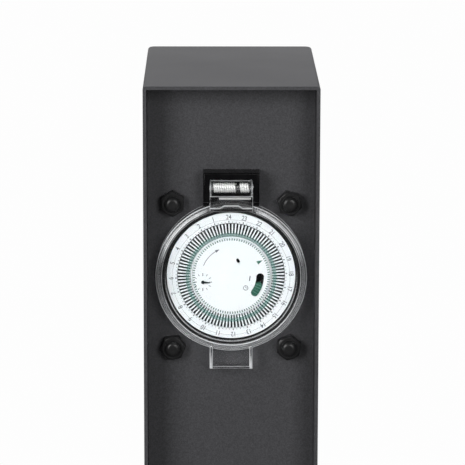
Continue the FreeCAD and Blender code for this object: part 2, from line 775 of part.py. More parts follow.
def arc_band(inner, outer, start, end, back, front):
    """A curved bar between two clockwise angles."""
    bar = ring(outer, inner, back, front)
    steps = 12
    fan = [(0.0, 0.0)] + [polar(3 * outer, start + (end - start) * i / steps) for i in range(steps + 1)]
    return bar.common(prism(fan, back - 1, front + 1))


def centre_disc():
    back = DISC_FACE - DISC_THICK
    plate = disc(DISC_RADIUS, back, DISC_FACE)
    inner = SLIDE_RADIUS - SLIDE_HALF_WIDTH
    outer = SLIDE_RADIUS + SLIDE_HALF_WIDTH
    plate = plate.cut(arc_band(inner, outer, SLIDE_FROM, SLIDE_TO, back - 1, DISC_FACE + 1))
    for clock in (SLIDE_FROM, SLIDE_TO):
        plate = plate.cut(disc(SLIDE_HALF_WIDTH, back - 1, DISC_FACE + 1, polar(SLIDE_RADIUS, clock)))
    plate = plate.cut(disc(SHAFT_RADIUS + 0.1, back - 1, DISC_FACE + 1, HAND))
    window = disc(0.85, back - 1, DISC_FACE + 1, (0, 0.6))
    window = window.fuse(disc(0.85, back - 1, DISC_FACE + 1, (0, -0.6)))
    window = window.fuse(box((-0.85, -0.6, back - 1), (0.85, 0.6, DISC_FACE + 1)))
    window.rotate(Vector(0, 0, 0), Vector(0, 0, 1), 30)
    spot = polar(9.8, 24.0)
    window.translate(Vector(spot[0], spot[1], 0))
    return on_dial(plate.cut(window))


def centre_boss():
    """The fixed tube that the dial turns on; it is cut away under the manual switch."""
    back = DISC_FACE - DISC_THICK
    tube = ring(BOSS_OUTER, BOSS_INNER, FRONT_PLATE_FRONT, back)
    return on_dial(tube.cut(arc_band(12, 22, SLIDE_FROM - 14, SLIDE_TO + 12, back - 2, back + 1)))


def override_slider():
    """The green manual switch: a ribbed grip in the disc's slot on a wider foot."""
    back = DISC_FACE - DISC_THICK
    inner = SLIDE_RADIUS - SLIDE_HALF_WIDTH + KNOB_FREE
    outer = SLIDE_RADIUS + SLIDE_HALF_WIDTH - KNOB_FREE
    grip = arc_band(inner, outer, KNOB_FROM, SLIDE_TO, back - 0.3, DISC_FACE + 0.5)
    for clock in (KNOB_FROM, SLIDE_TO):
        end = disc(SLIDE_HALF_WIDTH - KNOB_FREE, back - 0.3, DISC_FACE + 0.5, polar(SLIDE_RADIUS, clock))
        grip = grip.fuse(end)
    for index in range(7):
        clock = KNOB_FROM - 3.3 + index * 3.7
        rib = box((-0.35, inner + 0.4, DISC_FACE + 0.3), (0.35, outer - 0.4, DISC_FACE + 0.9))
        grip = grip.fuse(at_clock(rib, clock))
    foot = arc_band(13.4, BOSS_INNER - 0.2, KNOB_FROM - 2, SLIDE_TO + 10, back - 1.5, back - 0.3)
    return on_dial(grip.fuse(foot).removeSplitter())


def minute_hand():
    low = DISC_FACE + 0.25
    hub = disc(0.95, low, low + 0.9, HAND)
    tip = polar(4.0, 95.0)
    side = polar(0.55, 5.0)
    corners = [(HAND[0] + side[0], HAND[1] + side[1]),
               (HAND[0] + tip[0] + side[0] * 0.45, HAND[1] + tip[1] + side[1] * 0.45),
               (HAND[0] + tip[0] - side[0] * 0.45, HAND[1] + tip[1] - side[1] * 0.45),
               (HAND[0] - side[0], HAND[1] - side[1])]
    hand = hub.fuse(prism(corners, low, low + 0.5))
    return on_dial(hand.cut(disc(SHAFT_RADIUS, low - 1, HAND_SHAFT_FRONT, HAND)))


# ---------------------------------------------------------------- gear train

def shaft(place, front):
    return on_dial(disc(SHAFT_RADIUS, REAR_PLATE_BACK, front, place))


def bored_gear(teeth, module, back, front, turn, place):
    wheel = gear(teeth, module, back, front, turn, place)
    return on_dial(wheel.cut(disc(SHAFT_RADIUS, back - 1, front + 1, place)))


def idler_pinion():
    turn = mesh_turn(DIAL_TOOTH, DIAL_TEETH, DIAL_TOOTH, PINION_TEETH)
    return bored_gear(PINION_TEETH, COARSE, PINION_BACK, PINION_FRONT, turn, IDLER)


def idler_wheel():
    return bored_gear(WHEEL_TEETH, FINE, WHEEL_BACK, WHEEL_FRONT, WHEEL_TOOTH, IDLER)


def fine_pinion(place):
    towards = direction(IDLER, place)
    turn = mesh_turn(WHEEL_TOOTH, WHEEL_TEETH, towards, PINION_TEETH)
    return bored_gear(PINION_TEETH, FINE, WHEEL_BACK - 0.2, WHEEL_FRONT + 0.2, turn, place)


def motor_shaft():
    return on_dial(disc(SHAFT_RADIUS, REAR_PLATE_BACK - 6, WHEEL_FRONT + 0.6, MOTOR))


# ---------------------------------------------------------------- movement

def pillar_places():
    return [polar(PILLAR_REACH, clock) for clock in PILLAR_ANGLES]


def front_movement_plate():
    plate = disc(MOVEMENT_RADIUS, FRONT_PLATE_BACK, FRONT_PLATE_FRONT)
    for place in (IDLER, HAND):
        plate = plate.cut(disc(SHAFT_RADIUS + SHAFT_FREE, 0, 99, place))
    pivot = disc(1.0, FRONT_PLATE_FRONT - 0.5, LEVER_FRONT + 0.2, polar(LEVER_RADIUS, PIVOT_ANGLE))
    return on_dial(plate.fuse(pivot))


def rear_movement_plate():
    plate = disc(MOVEMENT_RADIUS, REAR_PLATE_BACK, REAR_PLATE_FRONT)
    for place in (IDLER, HAND):
        plate = plate.cut(disc(SHAFT_RADIUS + SHAFT_FREE, 0, 99, place))
    plate = plate.cut(disc(SHAFT_RADIUS + 0.4, 0, 99, MOTOR))
    for place in pillar_places():
        plate = plate.cut(disc(PILLAR_RADIUS, 0, 99, place))
    return on_dial(plate)


def movement_pillars():
    return on_dial(Part.makeCompound([disc(PILLAR_RADIUS, CUP_FLOOR, FRONT_PLATE_BACK, p)
                                      for p in pillar_places()]))


def motor_can():
    """The synchronous motor with its reduction gear, which drives the motor pinion."""
    can = disc(MOTOR_RADIUS, MOTOR_BACK, REAR_PLATE_BACK, (MOTOR_X, MOTOR_Y))
    rim = [e for e in can.Edges if e.BoundBox.ZMax < MOTOR_BACK + 1]
    can = can.makeFillet(2.0, rim)
    can = can.cut(disc(SHAFT_RADIUS + SHAFT_FREE, REAR_PLATE_BACK - 7, REAR_PLATE_BACK + 1, MOTOR))
    return on_dial(can)


def switch_lever():
    """A curved rocker: its nose follows the pressed tappets, its tail works the microswitch."""
    arm = arc_band(LEVER_IN, LEVER_OUT, NOSE_ANGLE - 1.5, TAIL_ANGLE + 2, LEVER_BACK, LEVER_FRONT)
    pivot = polar(LEVER_RADIUS, PIVOT_ANGLE)
    arm = arm.fuse(disc(2.0, LEVER_BACK, LEVER_FRONT, pivot))
    arm = arm.fuse(at_clock(box((-0.8, 24.5, LEVER_BACK), (0.8, LEVER_NOSE, LEVER_FRONT)), NOSE_ANGLE))
    post = box((-0.8, 24.0, 50.8), (0.8, LEVER_OUT - 0.1, LEVER_FRONT))
    finger = box((-0.8, 24.0, 50.8), (0.8, 27.9, 53.4))
    arm = arm.fuse(at_clock(post.fuse(finger), TAIL_ANGLE))
    return on_dial(arm.cut(disc(1.05, LEVER_BACK - 1, LEVER_FRONT + 1, pivot)))


def microswitch():
    case = box((-5, 29.5, FRONT_PLATE_FRONT), (5, 35.5, 53.6))
    case = case.cut(box((-1.0, 29, 50.8), (1.0, 32.4, 53.2)))
    return on_dial(at_clock(case, TAIL_ANGLE))


def switch_plunger():
    return on_dial(at_clock(box((-0.8, 28.1, 51.0), (0.8, 30.9, 53.0)), TAIL_ANGLE))


def timer_terminals():
    """The connection block on the back of the time switch."""
    block = box((-20, -9, 2), (20, 9, CUP_BACK))
    for index in range(5):
        x = (index - 2) * 7.6
        block = block.cut(disc(2.2, -1, 7, (x, 3)))
        block = block.cut(rod(1.6, (x, -10, 7), (x, -2, 7)))
    return on_dial(block)


def timer_terminal_screws():
    screws = [disc(2.0, 3, 7, ((index - 2) * 7.6, 3)) for index in range(5)]
    slots = [box((x - 3, 2.6, 2), (x + 3, 3.4, 3.8)) for x in [(i - 2) * 7.6 for i in range(5)]]
    return on_dial(Part.makeCompound([s.cut(c) for s, c in zip(screws, slots)]))


# ---------------------------------------------------------------- all the nodes

for make in (post_shell, front_plate, base_plate, base_angles, base_screws, rear_cover,
             rear_cover_gasket, rear_cover_screws, gland_shelf, gland_bodies, gland_locknuts,
             gland_caps, gland_seals, terminal_rail, terminal_blocks, terminal_screws, earth_stud,
             timer_housing, housing_screws, mounting_frame, mounting_gasket, mounting_studs,
             dome_nuts, lid_seal, hinge_bracket, bracket_screws, hinge_pin, lid_spring,
             lid_spring_leg, lid, dial_ring, dial_carrier, green_ring, tick_ring, centre_disc, centre_boss,
             override_slider, minute_hand, idler_pinion, idler_wheel, motor_shaft,
             front_movement_plate, rear_movement_plate, movement_pillars, motor_can,
             switch_lever, microswitch, switch_plunger, timer_terminals, timer_terminal_screws):
    save(make.__name__, make())

fixed = [index for index in range(TAPPETS) if index not in LOOSE_TAPPETS]
save("tappets", Part.makeCompound([tappet(index) for index in fixed]))
for index, name in LOOSE_TAPPETS.items():
    save(name, tappet(index))
save("hand_pinion", fine_pinion(HAND))
save("motor_pinion", fine_pinion(MOTOR))
save("idler_shaft", shaft(IDLER, PINION_FRONT + 0.2))
save("hand_shaft", shaft(HAND, HAND_SHAFT_FRONT))

os.makedirs("parts", exist_ok=True)
for name, shape in NODES.items():
    shape.exportStep("parts/" + name + ".step")
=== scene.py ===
import json
import math

import bmesh
import bpy
from mathutils import Matrix, Vector

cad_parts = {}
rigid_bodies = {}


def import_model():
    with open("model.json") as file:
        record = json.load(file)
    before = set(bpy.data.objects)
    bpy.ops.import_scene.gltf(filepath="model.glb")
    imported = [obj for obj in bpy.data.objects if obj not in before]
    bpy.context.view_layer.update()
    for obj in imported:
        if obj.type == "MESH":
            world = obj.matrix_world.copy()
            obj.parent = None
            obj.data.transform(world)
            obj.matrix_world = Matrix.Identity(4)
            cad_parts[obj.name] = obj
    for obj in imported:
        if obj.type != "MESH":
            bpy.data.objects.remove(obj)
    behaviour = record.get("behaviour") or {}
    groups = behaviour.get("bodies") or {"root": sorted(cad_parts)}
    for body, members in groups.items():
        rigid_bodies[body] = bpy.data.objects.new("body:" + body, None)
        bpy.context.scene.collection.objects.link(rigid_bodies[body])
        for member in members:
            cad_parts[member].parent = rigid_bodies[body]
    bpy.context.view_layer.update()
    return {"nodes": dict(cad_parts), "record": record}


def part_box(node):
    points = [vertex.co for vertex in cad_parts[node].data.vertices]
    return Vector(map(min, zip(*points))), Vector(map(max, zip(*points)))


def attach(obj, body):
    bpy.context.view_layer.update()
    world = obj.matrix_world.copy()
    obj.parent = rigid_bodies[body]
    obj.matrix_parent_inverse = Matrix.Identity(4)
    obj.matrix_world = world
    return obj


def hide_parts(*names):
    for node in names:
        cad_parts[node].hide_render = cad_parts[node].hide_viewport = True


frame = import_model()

# ---------------------------------------------------------------- sizes, in metres, from the frame

MM = 0.001
NODES = frame["nodes"]


class Span:
    """The box of a CAD node at rest: its lowest and highest corners, its middle and its size."""

    def __init__(self, node):
        self.low, self.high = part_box(node)
        self.middle = (self.low + self.high) / 2
        self.size = self.high - self.low


SHELL = Span("post_shell")
RING = Span("dial_ring")
DISC = Span("centre_disc")
LID = Span("lid")
PIN = Span("hinge_pin")
HAND_SHAFT = Span("hand_shaft")
SPRING = Span("lid_spring")
TAPPET = Span("tappet_24")

# dial; angles on it run clockwise from the top, in degrees
DIAL = Vector((RING.middle.x, 0.0, RING.middle.z))
RING_FACE = RING.low.y
DISC_FACE = DISC.low.y
HOURS = 24
HOUR_STEP = 360.0 / HOURS
SEGMENTS = 96
SEGMENT_STEP = 360.0 / SEGMENTS
MIDNIGHT = 357.6
GRIP_BAND_STEP = 5.6

# lid; heights are distances in front of the post's middle plane
PLATE_FACE = -Span("front_plate").low.y
LID_RADIUS = LID.size.x / 2
LID_BACK = -LID.high.y
LID_PROUD = -LID.low.y
LID_FRONT = LID_PROUD - 1.6 * MM
LID_WALL = 2.0 * MM
RIM_BEVEL = 40.4 * MM
RIM_STEP = 39.9 * MM
RIM_DEEP = 0.6 * MM
RIM_SLOPE = 1.0 * MM
RIM_ROUND = 0.7 * MM
RIM_END = LID_RADIUS + 0.02 * MM
WINDOW_THICK = 1.8 * MM
ARM_HALF = 12.3 * MM
HINGE_UP = PIN.middle.z - DIAL.z
HINGE_OUT = -PIN.middle.y
KNUCKLE_RADIUS = LID.high.z - PIN.middle.z
KNUCKLE_BOTTOM = 47.0 * MM
KNUCKLE_CROWN = LID.high.z - DIAL.z - 0.75 * MM
TAB_LOW = LID.low.z - DIAL.z
TAB_TOP = -40.0 * MM
TAB_FLOOR = PLATE_FACE + 5.0 * MM
TAB_RIB = 1.8 * MM


def polar(radius, clock):
    """A point of the dial's face (x right, y up) at a clockwise angle from the top."""
    turn = math.radians(clock)
    return Vector((radius * math.sin(turn), radius * math.cos(turn)))


# ---------------------------------------------------------------- node-tree helpers

class Surface:
    """A material with a Principled shader and short calls for its nodes."""

    def __init__(self, name, color, roughness, metallic=0.0):
        self.material = bpy.data.materials.new(name)
        self.material.use_nodes = True
        self.tree = self.material.node_tree
        self.shader = self.tree.nodes["Principled BSDF"]
        self.color = color
        self.shader.inputs["Base Color"].default_value = (*color, 1.0)
        self.shader.inputs["Roughness"].default_value = roughness
        self.shader.inputs["Metallic"].default_value = metallic
        self.place = self.add("ShaderNodeTexCoord").outputs["Object"]

    def add(self, kind, **values):
        node = self.tree.nodes.new(kind)
        for name, value in values.items():
            setattr(node, name, value)
        return node

    def link(self, source, target):
        self.tree.links.new(source, target)

    def set(self, **values):
        for name, value in values.items():
            self.shader.inputs[name.replace("_", " ")].default_value = value

    def noise(self, scale, detail=2.0, roughness=0.5, stretch=None):
        source = self.place
        if stretch:
            mapping = self.add("ShaderNodeMapping")
            mapping.inputs["Scale"].default_value = stretch
            self.link(self.place, mapping.inputs["Vector"])
            source = mapping.outputs["Vector"]
        noise = self.add("ShaderNodeTexNoise")
        noise.inputs["Scale"].default_value = scale
        noise.inputs["Detail"].default_value = detail
        noise.inputs["Roughness"].default_value = roughness
        self.link(source, noise.inputs["Vector"])
        return noise.outputs["Fac"]

    def remap(self, value, low, high, to_low, to_high):
        remap = self.add("ShaderNodeMapRange")
        for name, number in (("From Min", low), ("From Max", high), ("To Min", to_low), ("To Max", to_high)):
            remap.inputs[name].default_value = number
        self.link(value, remap.inputs["Value"])
        return remap.outputs["Result"]

    def mix_color(self, factor, first, second):
        mix = self.add("ShaderNodeMix", data_type="RGBA")
        self.link(factor, mix.inputs["Factor"])
        for socket, value in (("A", first), ("B", second)):
            target = [s for s in mix.inputs if s.name == socket and s.type == "RGBA"][0]
            if isinstance(value, tuple):
                target.default_value = (*value, 1.0)
            else:
                self.link(value, target)
        return [s for s in mix.outputs if s.type == "RGBA"][0]

    def scaled(self, factor):
        return tuple(min(1.0, channel * factor) for channel in self.color)

    def vary_color(self, factor, dark, light):
        """The base colour drifts between `dark` and `light` times itself."""
        self.paint(self.mix_color(factor, self.scaled(dark), self.scaled(light)))

    def paint(self, color):
        self.link(color, self.shader.inputs["Base Color"])

    def math(self, operation, *values):
        """One math node after another, each taking the last result and the next value."""
        result = values[0]
        for value in values[1:] or (None,):
            node = self.add("ShaderNodeMath", operation=operation)
            self.link(result, node.inputs[0])
            if isinstance(value, float):
                node.inputs[1].default_value = value
            elif value is not None:
                self.link(value, node.inputs[1])
            result = node.outputs["Value"]
        return result

    def line(self, value, middle, half):
        """1 on `middle`, falling to 0 at `half` to either side of it."""
        return self.remap(self.math("ABSOLUTE", self.math("SUBTRACT", value, middle)), 0.0, half, 1.0, 0.0)

    def inverse(self, value):
        return self.remap(value, 0.0, 1.0, 1.0, 0.0)

    def parts(self, vector):
        """The X, Y and Z of a vector."""
        split = self.add("ShaderNodeSeparateXYZ")
        self.link(vector, split.inputs["Vector"])
        return [split.outputs[axis] for axis in "XYZ"]

    def from_dial(self):
        """The place on the surface, measured from the middle of the dial."""
        offset = self.add("ShaderNodeVectorMath", operation="SUBTRACT")
        offset.inputs[1].default_value = DIAL
        self.link(self.place, offset.inputs[0])
        return offset.outputs["Vector"]

    def dial_radius(self):
        """The distance from the dial's axis."""
        flat = self.add("ShaderNodeVectorMath", operation="MULTIPLY")
        flat.inputs[1].default_value = (1.0, 0.0, 1.0)
        self.link(self.from_dial(), flat.inputs[0])
        reach = self.add("ShaderNodeVectorMath", operation="LENGTH")
        self.link(flat.outputs["Vector"], reach.inputs[0])
        return reach.outputs["Value"]

    def facing(self):
        """How far the surface faces along X, Y and Z, to either side."""
        normal = self.add("ShaderNodeNewGeometry").outputs["Normal"]
        return [self.math("ABSOLUTE", part) for part in self.parts(normal)]

    def light_path(self, ray):
        return self.add("ShaderNodeLightPath").outputs[ray]

    def blend(self, factor, first, second):
        """One shader mixed into another."""
        mix = self.add("ShaderNodeMixShader")
        self.link(factor, mix.inputs["Fac"])
        self.link(first, mix.inputs[1])
        self.link(second, mix.inputs[2])
        return mix.outputs["Shader"]

    def show(self, shader):
        self.link(shader, self.tree.nodes["Material Output"].inputs["Surface"])

    def vary_roughness(self, factor, low, high):
        self.link(self.remap(factor, 0.3, 0.7, low, high), self.shader.inputs["Roughness"])

    def bump(self, height, distance, strength, below=None):
        bump = self.add("ShaderNodeBump")
        bump.inputs["Distance"].default_value = distance
        bump.inputs["Strength"].default_value = strength
        self.link(height, bump.inputs["Height"])
        if below is not None:
            self.link(below, bump.inputs["Normal"])
        self.link(bump.outputs["Normal"], self.shader.inputs["Normal"])
        return bump.outputs["Normal"]


# ---------------------------------------------------------------- materials

def powder_coat():
    """Anthracite fine-texture powder coat: sparkly grain over a slight orange peel."""
    skin = Surface("powder_coat", (0.060, 0.060, 0.065), 0.55)
    cloud = skin.noise(9.0, detail=3.0)
    skin.vary_roughness(cloud, 0.48, 0.62)
    grain = skin.noise(1500.0, detail=3.0, roughness=0.65)
    speck = skin.remap(grain, 0.35, 0.75, 0.0, 1.0)
    skin.vary_color(speck, 0.72, 1.45)
    peel = skin.bump(skin.noise(420.0, detail=1.0), 0.03 * MM, 0.5)
    skin.bump(grain, 0.05 * MM, 0.9, below=peel)
    skin.set(Specular_IOR_Level=0.45)
    return skin.material


def moulded(name, color, roughness, gloss=0.5):
    """Injection-moulded plastic: faint colour drift, uneven gloss and spark-eroded grain."""
    skin = Surface(name, color, roughness)
    cloud = skin.noise(60.0, detail=2.0)
    skin.vary_color(cloud, 0.92, 1.08)
    skin.vary_roughness(skin.noise(240.0), roughness - 0.07, roughness + 0.07)
    skin.bump(skin.noise(2200.0, detail=2.0), 0.012 * MM, 0.6)
    skin.set(Specular_IOR_Level=gloss)
    return skin.material


def white_moulded(name, color):
    """Glossy white plastic that lets a little light in."""
    skin = Surface(name, color, 0.32)
    skin.vary_color(skin.noise(120.0, detail=2.0), 0.965, 1.02)
    skin.vary_roughness(skin.noise(700.0), 0.26, 0.40)
    skin.bump(skin.noise(900.0, detail=1.0), 0.004 * MM, 0.4)
    skin.set(Subsurface_Weight=0.05, Subsurface_Scale=0.4 * MM)
    return skin.material


def plated(name, color, roughness, stretch=(1.0, 1.0, 1.0), metallic=1.0):
    """Plated or bright metal with a fine brushed gloss."""
    skin = Surface(name, color, roughness, metallic)
    skin.vary_color(skin.noise(90.0, detail=4.0), 0.88, 1.06)
    brushed = skin.noise(2600.0, detail=2.0, stretch=stretch)
    skin.vary_roughness(brushed, roughness - 0.08, roughness + 0.10)
    skin.bump(brushed, 0.004 * MM, 0.35)
    return skin.material


def rubber():
    """Black rubber for gaskets and seals."""
    skin = Surface("rubber", (0.022, 0.022, 0.022), 0.8)
    skin.vary_color(skin.noise(150.0, detail=3.0), 0.8, 1.25)
    skin.vary_roughness(skin.noise(400.0), 0.72, 0.88)
    skin.bump(skin.noise(1800.0), 0.01 * MM, 0.6)
    return skin.material


# how strongly the clear lid is painted with highlights, as strengths, and where, measured from the middle of
# the dial
# strength of the painted highlights on tilted faces
EDGE_HIGHLIGHT = 0.85
EDGE_DEPTH = LID.low.y + 3.5 * MM
# strength of a painted glow on the rim, stronger towards the bottom
RIM_GLOW = 0.045
# radius of a painted highlight line low on the window
WINDOW_GLINT = 37.7 * MM
# radius of a painted highlight line all round the rim
RIM_HIGHLIGHT_LINE = 42.1 * MM
# pale lines drawn along the rim's upper left and right, where the real lid catches the light:
# radius and half width in mm, and strength
LIT_LINES = ((43.10, 0.30, 0.90), (41.75, 0.34, 0.80), (40.80, 0.42, 1.00))


def rim_slopes(skin, up, radius, flatness):
    """Painted highlight on the rim's tilted faces; fainter on the window's step, except near the bottom."""
    tilted = skin.math("MULTIPLY", skin.remap(flatness, 0.20, 0.45, 0.0, EDGE_HIGHLIGHT),
                       skin.remap(flatness, 0.80, 0.92, 1.0, 0.0))
    step = skin.remap(radius, RIM_BEVEL + 0.1 * MM, RIM_BEVEL + 0.3 * MM, 1.0, 0.0)
    dulled = skin.remap(up, -10.0 * MM, -28.0 * MM, 0.65, 0.0)
    return skin.math("MULTIPLY", tilted, skin.inverse(skin.math("MULTIPLY", step, dulled)))


def arm_lines(skin, aside, up):
    """Painted highlights on the hinge arm: a line along its seam under the knuckle, and the arched line that
    stands for its bright lower edge.
    """
    # painted highlight line under the knuckle
    seam_glint = skin.math("MULTIPLY", skin.line(up, 47.4 * MM, 0.42 * MM), 0.55)
    arch = skin.remap(aside, 4.0 * MM, 6.5 * MM, 1.5 * MM, 0.0)
    foot = skin.line(skin.math("SUBTRACT", up, arch), 40.5 * MM, 0.62 * MM)
    on_arm = skin.remap(aside, ARM_HALF - 0.5 * MM, ARM_HALF - 0.1 * MM, 1.0, 0.0)
    return skin.math("ADD", seam_glint, skin.math("MULTIPLY", foot, 0.65, on_arm))


def tab_ribs(skin, aside, up):
    """Painted highlight on the lift tab's two side ribs, stronger towards their lower ends."""
    return skin.math("MULTIPLY", skin.remap(up, -44.5 * MM, -50.5 * MM, 0.12, 0.80),
                     skin.remap(up, -43.6 * MM, -44.2 * MM, 0.0, 1.0),
                     skin.remap(aside, ARM_HALF - TAB_RIB, ARM_HALF - TAB_RIB + 0.3 * MM, 0.0, 1.0))


def knuckle_edges(skin, aside, up, flatness, sideways):
    """Painted highlights on the knuckle's crown and its two bright ends."""
    crown = skin.remap(up, KNUCKLE_CROWN - 0.1 * MM, KNUCKLE_CROWN + 0.2 * MM, 0.0, 1.0)
    tilted = skin.math("MULTIPLY", skin.remap(flatness, 0.20, 0.26, 0.0, EDGE_HIGHLIGHT),
                       skin.remap(flatness, 0.36, 0.52, 1.0, 0.0), crown)
    end_faces = skin.remap(sideways, 0.25, 0.5, 0.0, 0.5 * EDGE_HIGHLIGHT)
    ends = skin.remap(aside, ARM_HALF - 1.3 * MM, ARM_HALF - 0.3 * MM, 0.0, 0.42)
    return skin.math("MAXIMUM", tilted, end_faces, ends)


def rim_lines(skin, up, radius, on_rim, shoulder):
    """Painted light on the rim: a pale glow, stronger towards the bottom, a highlight line all round and its
    lit lines.
    """
    beyond = skin.remap(radius, RIM_BEVEL - 0.1 * MM, RIM_BEVEL + 0.3 * MM, 0.0, RIM_GLOW)
    # painted glow on the rim, stronger towards the bottom
    bottom_glow = skin.math("MULTIPLY", beyond, on_rim, skin.remap(up, 10.0 * MM, -38.0 * MM, 0.7, 3.6))
    # painted highlight line all round the rim
    ring_highlight = skin.math("MULTIPLY", skin.line(radius, RIM_HIGHLIGHT_LINE, 0.16 * MM), 0.30)
    lit = [skin.math("MULTIPLY", skin.line(radius, middle * MM, half * MM), strength, shoulder)
           for middle, half, strength in LIT_LINES]
    return skin.math("ADD", bottom_glow, ring_highlight, *lit)


def lid_milk(skin, radius, on_rim, shoulder):
    """How strongly each place of the lid is painted with highlights: its tilted edges, its pale lines and a
    line low on the window.
    """
    across, depth, up = skin.parts(skin.from_dial())
    aside = skin.math("ABSOLUTE", across)
    sideways, flatness, _ = skin.facing()
    front = skin.remap(depth, EDGE_DEPTH, EDGE_DEPTH + 0.1 * MM, 1.0, 0.0)
    at_knuckle = skin.remap(up, KNUCKLE_BOTTOM, KNUCKLE_BOTTOM + 0.3 * MM, 0.0, 1.0)
    slopes = skin.math("MULTIPLY", rim_slopes(skin, up, radius, flatness), skin.inverse(at_knuckle))
    body = skin.math("ADD", slopes, arm_lines(skin, aside, up), tab_ribs(skin, aside, up))
    knuckle = skin.math("MULTIPLY", knuckle_edges(skin, aside, up, flatness, sideways), at_knuckle)
    below = skin.remap(up, 4.0 * MM, -16.0 * MM, 0.0, 1.0)
    # painted highlight line low on the window
    window = skin.math("MULTIPLY", skin.line(radius, WINDOW_GLINT, 0.45 * MM), below, 0.38)
    return skin.math("ADD", skin.math("MULTIPLY", body, front), knuckle, window,
                     rim_lines(skin, up, radius, on_rim, shoulder))


def clear_plastic():
    """Clear polycarbonate: scuffed gloss, with painted highlights in pale white on its edges and lines;
    its tilted walls shade the light."""
    skin = Surface("clear_lid", (0.985, 0.99, 0.995), 0.02)
    skin.set(Transmission_Weight=1.0, IOR=1.50)
    scuffs = skin.noise(260.0, detail=4.0, stretch=(1.0, 1.0, 6.0))
    skin.link(skin.remap(scuffs, 0.50, 0.80, 0.05, 0.10), skin.shader.inputs["Roughness"])

    across, _, up = skin.parts(skin.from_dial())
    radius = skin.dial_radius()
    inside_edge = skin.remap(radius, RIM_END, RIM_END + 0.04 * MM, 1.0, 0.0)
    rim = skin.math("MULTIPLY", skin.remap(radius, RIM_BEVEL - 0.2 * MM, RIM_BEVEL + 0.1 * MM, 0.0, 1.0),
                    inside_edge)
    shoulder = skin.math("MULTIPLY", skin.remap(up, 6.0 * MM, 18.0 * MM, 0.0, 1.0),
                         skin.remap(skin.math("ABSOLUTE", across), 12.0 * MM, 19.0 * MM, 0.0, 1.0))
    straight = skin.add("ShaderNodeBsdfTransparent").outputs["BSDF"]
    glass = skin.blend(skin.math("MULTIPLY", rim, shoulder, 0.75), skin.shader.outputs["BSDF"], straight)

    # pale white shader for the painted highlights
    highlight_white = skin.add("ShaderNodeBsdfPrincipled")
    highlight_white.inputs["Base Color"].default_value = (0.86, 0.88, 0.90, 1.0)
    highlight_white.inputs["Roughness"].default_value = 0.30
    # patchy strength of the painted highlights
    patchy_highlight = skin.remap(skin.noise(300.0, detail=3.0), 0.3, 0.7, 0.85, 1.15)
    painted_light = skin.math("MULTIPLY", lid_milk(skin, radius, inside_edge, shoulder), patchy_highlight)
    body = skin.blend(painted_light, glass, highlight_white.outputs["BSDF"])

    clear = skin.add("ShaderNodeBsdfTransparent")
    flatness = skin.facing()[1]
    skin.link(skin.remap(flatness, 0.5, 0.9, 0.30, 0.97), clear.inputs["Color"])
    skin.show(skin.blend(skin.light_path("Is Shadow Ray"), body, clear.outputs["BSDF"]))
    return skin.material


def tappet_white():
    """White segments whose flanks are painted darker towards the slotted floor, as painted shade."""
    skin = Surface("tappet_white", (0.82, 0.87, 0.885), 0.34)
    depth = skin.parts(skin.place)[1]
    shade = skin.remap(depth, TAPPET.low.y + 0.04 * MM, TAPPET.low.y + 0.30 * MM, 0.0, 1.0)
    flank = skin.remap(skin.facing()[1], 0.5, 0.8, 1.0, 0.0)
    grain = skin.mix_color(skin.noise(120.0, detail=2.0), skin.scaled(0.965), skin.scaled(1.02))
    # painted shade on the flanks, deepening towards the slotted floor
    skin.paint(skin.mix_color(skin.math("MULTIPLY", shade, flank), grain, (0.006, 0.026, 0.026)))
    skin.vary_roughness(skin.noise(700.0), 0.28, 0.42)
    skin.bump(skin.noise(900.0, detail=1.0), 0.004 * MM, 0.4)
    return skin.material


def ribbed_green():
    """The manual switch's green, with pale bands of painted highlight across its grip, most of all at its
    upper end.
    """
    skin = Surface("grip_green", (0.016, 0.105, 0.070), 0.42)
    across, _, up = skin.parts(skin.from_dial())
    clock = skin.math("ARCTAN2", across, up)
    wave = skin.math("SINE", skin.math("MULTIPLY", clock, 360.0 / GRIP_BAND_STEP))
    # pale bands painted across the grip as highlights
    lit_bands = skin.math("MULTIPLY", skin.remap(wave, 0.1, 0.9, 0.0, 1.0),
                       skin.remap(up, -13.0 * MM, -5.0 * MM, 0.35, 1.0))
    grain = skin.mix_color(skin.noise(90.0, detail=2.0), skin.scaled(0.92), skin.scaled(1.08))
    skin.paint(skin.mix_color(lit_bands, grain, (0.100, 0.240, 0.185)))
    skin.vary_roughness(skin.noise(600.0), 0.34, 0.48)
    skin.bump(skin.noise(1800.0, detail=2.0), 0.010 * MM, 0.5)
    skin.set(Specular_IOR_Level=0.35)
    return skin.material


def ink(name, color):
    """Matt printing ink."""
    skin = Surface(name, color, 0.55)
    skin.vary_color(skin.noise(2500.0, detail=2.0), 0.8, 1.2)
    skin.vary_roughness(skin.noise(800.0), 0.48, 0.62)
    return skin.material


def film(name, color, cover):
    """A thin translucent layer on clear plastic, for print and for a painted shade line; `cover` is how much
    each of its two faces hides.
    """
    skin = Surface(name, color, 0.45)
    skin.vary_color(skin.noise(800.0), 0.92, 1.08)
    skin.vary_roughness(skin.noise(500.0), 0.4, 0.5)
    clear = skin.add("ShaderNodeBsdfTransparent")
    share = skin.remap(skin.light_path("Is Shadow Ray"), 0.0, 1.0, cover, 0.1 * cover)
    skin.show(skin.blend(share, clear.outputs["BSDF"], skin.shader.outputs["BSDF"]))
    return skin.material


